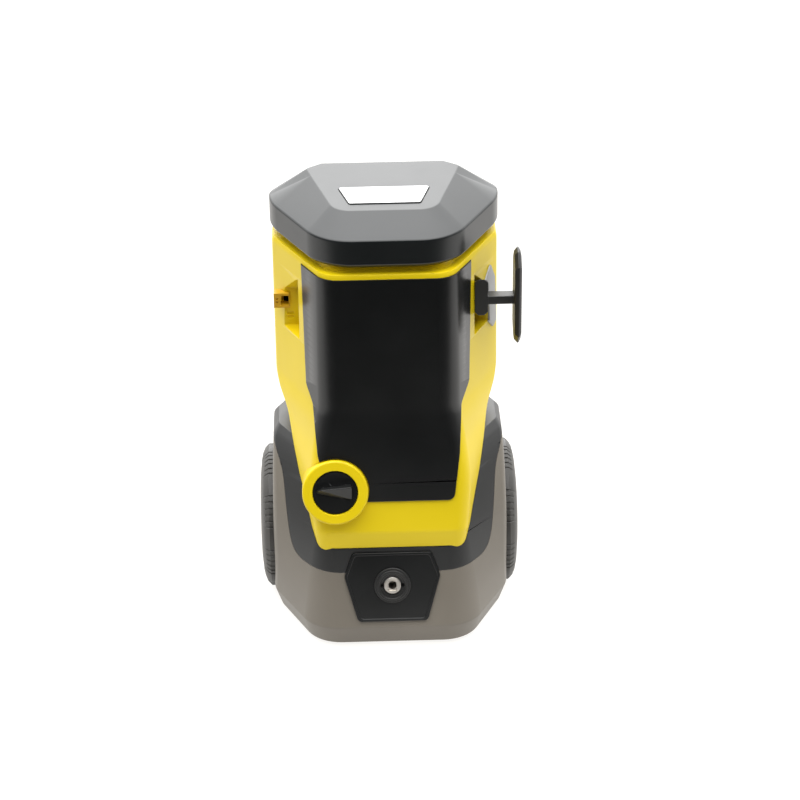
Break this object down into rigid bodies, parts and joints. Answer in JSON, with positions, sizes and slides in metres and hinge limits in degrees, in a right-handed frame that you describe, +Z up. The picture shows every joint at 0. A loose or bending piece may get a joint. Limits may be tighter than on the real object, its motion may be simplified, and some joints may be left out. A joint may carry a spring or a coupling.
{
  "type": "pressure washer",
  "caption": "Upright domestic pressure washer with yellow housing, dark front panel and lid, rotary switch, front hose outlet, side hook, two wheels and a pull-out handle.",
  "frame": {"origin": "middle of the machine's footprint box at floor level", "axes": "+Z up, -Y towards the front panel, +X to the right seen from the front"},
  "size_m": [0.305, 0.315, 0.5116],
  "materials": {
    "yellow_shell": "satin moulded ABS, fine grain",
    "black_shell": "matte textured polypropylene",
    "grey_shell": "satin warm-grey moulded plastic",
    "wheel_plastic": "satin grey moulded plastic",
    "tyre_tread": "moulded tread, satin",
    "slate_lid": "satin slate grey, soft sheen",
    "gloss_black": "smooth satin-gloss black",
    "badge": "blank foil badge",
    "socket_grey": "dark grey plastic",
    "pad_grey": "mid grey plastic",
    "catch_orange": "amber moulded plastic",
    "nickel": "satin nickel plate",
    "steel": "bright zinc-plated steel",
    "tube_aluminium": "anodised, satin",
    "inlet_black": "black thread connector",
    "rubber": "matte black rubber",
    "clear_hose": "milky PVC tube",
    "pump_brass": "machined brass",
    "cast_aluminium": "die-cast",
    "laminations": "laminated steel with copper windings",
    "white_plastic": "white plastic",
    "cover_grey": "grey plastic"
  },
  "bodies": {
    "machine": {"base_shell": "grey_shell", "shoulder_frame": "black_shell", "front_housing": "yellow_shell", "rear_housing": "black_shell", "front_panel": "gloss_black", "top_lid": "slate_lid", "nameplate": "badge", "switch_collar": "yellow_shell", "outlet_bezel": "gloss_black", "outlet_socket": "socket_grey", "outlet_nipple": "nickel", "accessory_hook": "black_shell", "hook_pad": "pad_grey", "accessory_catch": "catch_orange", "handle_guides": "black_shell", "tube_brackets": "black_shell", "lance_holders": "black_shell", "water_inlet": "inlet_black", "inlet_strainer": "steel", "detergent_port": "socket_grey", "cable_gland": "black_shell", "front_feet": "rubber", "housing_screws": "steel", "bracket_screws": "steel", "wheel_axle": "steel", "axle_clips": "steel", "motor_mounts": "rubber", "pump_head": "pump_brass", "pump_pistons": "steel", "piston_springs": "steel", "outlet_valves": "pump_brass", "unloader_valve": "pump_brass", "pressure_pipe": "steel", "suction_pipe": "rubber", "detergent_tube": "clear_hose", "swash_housing": "cast_aluminium", "motor_casing": "cast_aluminium", "motor_stator": "laminations", "motor_bearings": "steel", "fan_cover": "cover_grey", "run_capacitor": "white_plastic", "switch_box": "socket_grey", "supply_lead": "rubber"},
    "left_wheel_body": {"left_wheel": "wheel_plastic", "left_tyre": "tyre_tread", "left_hub_cap": "wheel_plastic"},
    "right_wheel_body": {"right_wheel": "wheel_plastic", "right_tyre": "tyre_tread", "right_hub_cap": "wheel_plastic"},
    "handle": {"handle_tubes": "tube_aluminium", "handle_grip": "black_shell", "button_spring": "steel"},
    "handle_button": {"release_button": "socket_grey"},
    "power_switch": {"switch_knob": "gloss_black", "switch_spindle": "steel"},
    "motor_rotor_body": {"motor_shaft": "steel", "motor_rotor": "laminations", "cooling_fan": "white_plastic", "swash_plate": "steel"}
  },
  "joints": [
    {"name": "left_wheel_spin", "type": "hinge", "parent": "machine", "child": "left_wheel_body", "pos_m": [-0.125, 0.015, 0.085], "axis": [1, 0, 0], "continuous": true},
    {"name": "right_wheel_spin", "type": "hinge", "parent": "machine", "child": "right_wheel_body", "pos_m": [0.125, 0.015, 0.085], "axis": [1, 0, 0], "continuous": true},
    {"name": "handle_slide", "type": "slide", "parent": "machine", "child": "handle", "axis": [0, 0, 1], "range_m": [0, 0.29]},
    {"name": "button_press", "type": "slide", "parent": "handle", "child": "handle_button", "axis": [0, 0, -1], "range_m": [0, 0.004], "stiffness_N_per_m": 400, "springref_m": -0.002, "deforming": ["button_spring"]},
    {"name": "switch_turn", "type": "hinge", "parent": "machine", "child": "power_switch", "pos_m": [-0.063, -0.135, 0.198], "axis": [0, 0.9659, -0.2588], "range_deg": [0, 90]},
    {"name": "motor_spin", "type": "hinge", "parent": "machine", "child": "motor_rotor_body", "pos_m": [0, -0.045, 0.2], "axis": [0, 0, 1], "continuous": true}
  ]
}
